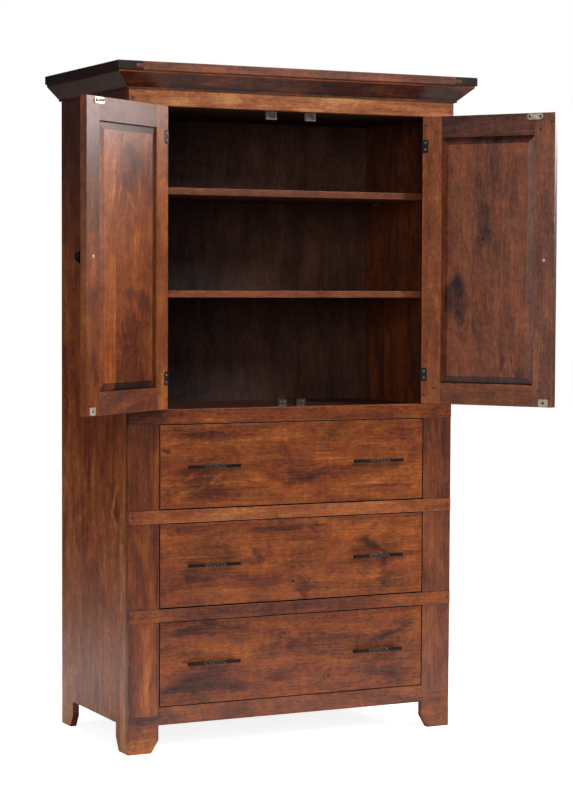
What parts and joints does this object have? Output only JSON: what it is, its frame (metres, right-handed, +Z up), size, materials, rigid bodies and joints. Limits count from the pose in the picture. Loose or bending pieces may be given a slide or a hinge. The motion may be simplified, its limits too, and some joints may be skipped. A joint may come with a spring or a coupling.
{
  "type": "tv armoire",
  "caption": "Tall wooden armoire: panelled doors standing open on a shelved bay, over drawers with twisted iron pulls, under a flared crown and overhanging top.",
  "frame": {"origin": "on the floor, under the middle of the case", "axes": "+X to the right seen from the front, +Y to the back, +Z up"},
  "size_m": [1.4673, 0.9197, 1.98],
  "materials": {
    "case_wood": "satin lacquer over a red-brown stain",
    "door_wood": "satin lacquer over a red-brown stain",
    "drawer_wood": "satin lacquer over an orange-brown stain",
    "inside_wood": "thin brown stain",
    "box_wood": "clear lacquer",
    "peg_wood": "dark end grain",
    "black_iron": "blackened, worn bright on the edges",
    "bright_steel": "zinc plated",
    "strike_brass": "dull brass plate",
    "grey_plastic": "matte grey"
  },
  "bodies": {
    "case": {"left_side_panel": "case_wood", "right_side_panel": "case_wood", "left_front_stile": "case_wood", "right_front_stile": "case_wood", "top_rail": "case_wood", "door_sill_rail": "case_wood", "upper_drawer_rail": "case_wood", "lower_drawer_rail": "case_wood", "base_rail": "case_wood", "back_panel": "inside_wood", "rear_base_rail": "inside_wood", "cabinet_floor": "inside_wood", "case_bottom": "inside_wood", "case_ceiling": "inside_wood", "top_board": "case_wood", "left_breadboard_end": "case_wood", "right_breadboard_end": "case_wood", "crown_front": "case_wood", "crown_left": "case_wood", "crown_right": "case_wood", "upper_shelf": "inside_wood", "lower_shelf": "inside_wood", "shelf_pins": "bright_steel", "frame_pegs": "peg_wood", "door_catches": "grey_plastic", "catch_poles": "bright_steel", "case_hinge_leaves": "black_iron", "drawer_slide_rails": "bright_steel", "slide_spacers": "inside_wood", "corner_blocks": "inside_wood"},
    "left_door": {"left_door_hinge_stile": "door_wood", "left_door_meeting_stile": "door_wood", "left_door_top_rail": "door_wood", "left_door_bottom_rail": "door_wood", "left_door_panel": "door_wood", "left_door_pegs": "peg_wood", "left_door_hinge_leaves": "black_iron", "left_door_knob": "black_iron", "left_door_strikes": "strike_brass"},
    "right_door": {"right_door_hinge_stile": "door_wood", "right_door_meeting_stile": "door_wood", "right_door_top_rail": "door_wood", "right_door_bottom_rail": "door_wood", "right_door_panel": "door_wood", "right_door_pegs": "peg_wood", "right_door_hinge_leaves": "black_iron", "right_door_knob": "black_iron", "right_door_strikes": "strike_brass"},
    "upper_drawer": {"upper_drawer_front": "drawer_wood", "upper_drawer_box": "box_wood", "upper_drawer_pulls": "black_iron", "upper_drawer_slides": "bright_steel"},
    "middle_drawer": {"middle_drawer_front": "drawer_wood", "middle_drawer_box": "box_wood", "middle_drawer_pulls": "black_iron", "middle_drawer_slides": "bright_steel"},
    "lower_drawer": {"lower_drawer_front": "drawer_wood", "lower_drawer_box": "box_wood", "lower_drawer_pulls": "black_iron", "lower_drawer_slides": "bright_steel"}
  },
  "joints": [
    {"name": "left_door_hinge", "type": "hinge", "parent": "case", "child": "left_door", "pos_m": [-0.43375, -0.2755, 1.4275], "axis": [0, 0, -1], "range_deg": [-143.5, 26.5]},
    {"name": "right_door_hinge", "type": "hinge", "parent": "case", "child": "right_door", "pos_m": [0.43375, -0.2755, 1.4275], "axis": [0, 0, 1], "range_deg": [-123.7, 46.3]},
    {"name": "upper_drawer_slide", "type": "slide", "parent": "case", "child": "upper_drawer", "axis": [0, -1, 0], "range_m": [0, 0.33]},
    {"name": "middle_drawer_slide", "type": "slide", "parent": "case", "child": "middle_drawer", "axis": [0, -1, 0], "range_m": [0, 0.33]},
    {"name": "lower_drawer_slide", "type": "slide", "parent": "case", "child": "lower_drawer", "axis": [0, -1, 0], "range_m": [0, 0.33]}
  ]
}
